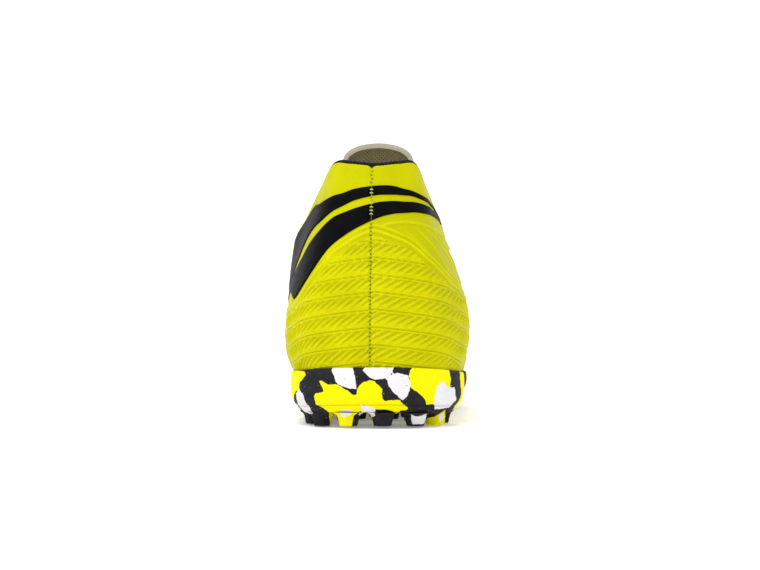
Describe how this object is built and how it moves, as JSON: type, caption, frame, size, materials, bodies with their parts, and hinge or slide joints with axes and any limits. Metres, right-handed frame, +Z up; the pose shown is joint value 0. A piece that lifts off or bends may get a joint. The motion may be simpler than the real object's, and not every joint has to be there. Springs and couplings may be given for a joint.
{
  "type": "turf football shoe",
  "caption": "Low-cut left turf football shoe with studded rubber outsole, foam midsole, embossed upper, padded collar, laces and a folding tongue.",
  "frame": {"origin": "middle of the bounding box on the ground under the studs", "axes": "+Y from heel to toe, +Z up, +X towards the inner side of the foot"},
  "size_m": [0.0974, 0.29, 0.1255],
  "materials": {
    "outsole_rubber": "mottled yellow, white and black moulded rubber",
    "midsole_foam": "matt foam rubber with crisp yellow, white and black patches",
    "board_textile": "stitched non-woven board",
    "sockliner_foam": "die-cut foam",
    "lining_textile": "black knitted lining",
    "upper_synthetic": "embossed neon yellow coated synthetic, satin",
    "eyestay_synthetic": "smooth neon yellow coated synthetic",
    "stiffener_sheet": "hidden moulded stiffener",
    "padding_foam": "soft open-cell foam",
    "collar_knit": "black padded knit",
    "stripe_film": "black raised film",
    "tongue_textile": "light grey coated textile",
    "tongue_mesh": "taupe padded mesh",
    "lace_textile": "flat woven lace",
    "aglet_plastic": "clear-coated plastic tip"
  },
  "bodies": {
    "shoe": {"outsole": "outsole_rubber", "midsole": "midsole_foam", "strobel_board": "board_textile", "sockliner_foam": "sockliner_foam", "sockliner_cover": "lining_textile", "quarter_lateral": "upper_synthetic", "quarter_medial": "upper_synthetic", "vamp": "upper_synthetic", "eyestay_lateral": "eyestay_synthetic", "eyestay_medial": "eyestay_synthetic", "quarter_lining_lateral": "lining_textile", "quarter_lining_medial": "lining_textile", "vamp_lining": "lining_textile", "toe_puff": "stiffener_sheet", "heel_counter": "stiffener_sheet", "collar_foam": "padding_foam", "collar_lining": "collar_knit", "heel_stripe_upper_lateral": "stripe_film", "heel_stripe_lower_lateral": "stripe_film", "heel_stripe_upper_medial": "stripe_film", "heel_stripe_lower_medial": "stripe_film", "tongue_lower": "tongue_textile", "lace": "lace_textile", "aglet_lateral": "aglet_plastic", "aglet_medial": "aglet_plastic"},
    "tongue_flap": {"tongue_flap_face": "tongue_textile", "tongue_flap_foam": "padding_foam", "tongue_flap_lining": "tongue_mesh"}
  },
  "joints": [
    {"name": "tongue_flex", "type": "hinge", "parent": "shoe", "child": "tongue_flap", "pos_m": [-0.0018, -0.0438, 0.106], "axis": [1, 0, 0], "range_deg": [-60, 20], "stiffness_Nm_per_rad": 0.1}
  ]
}
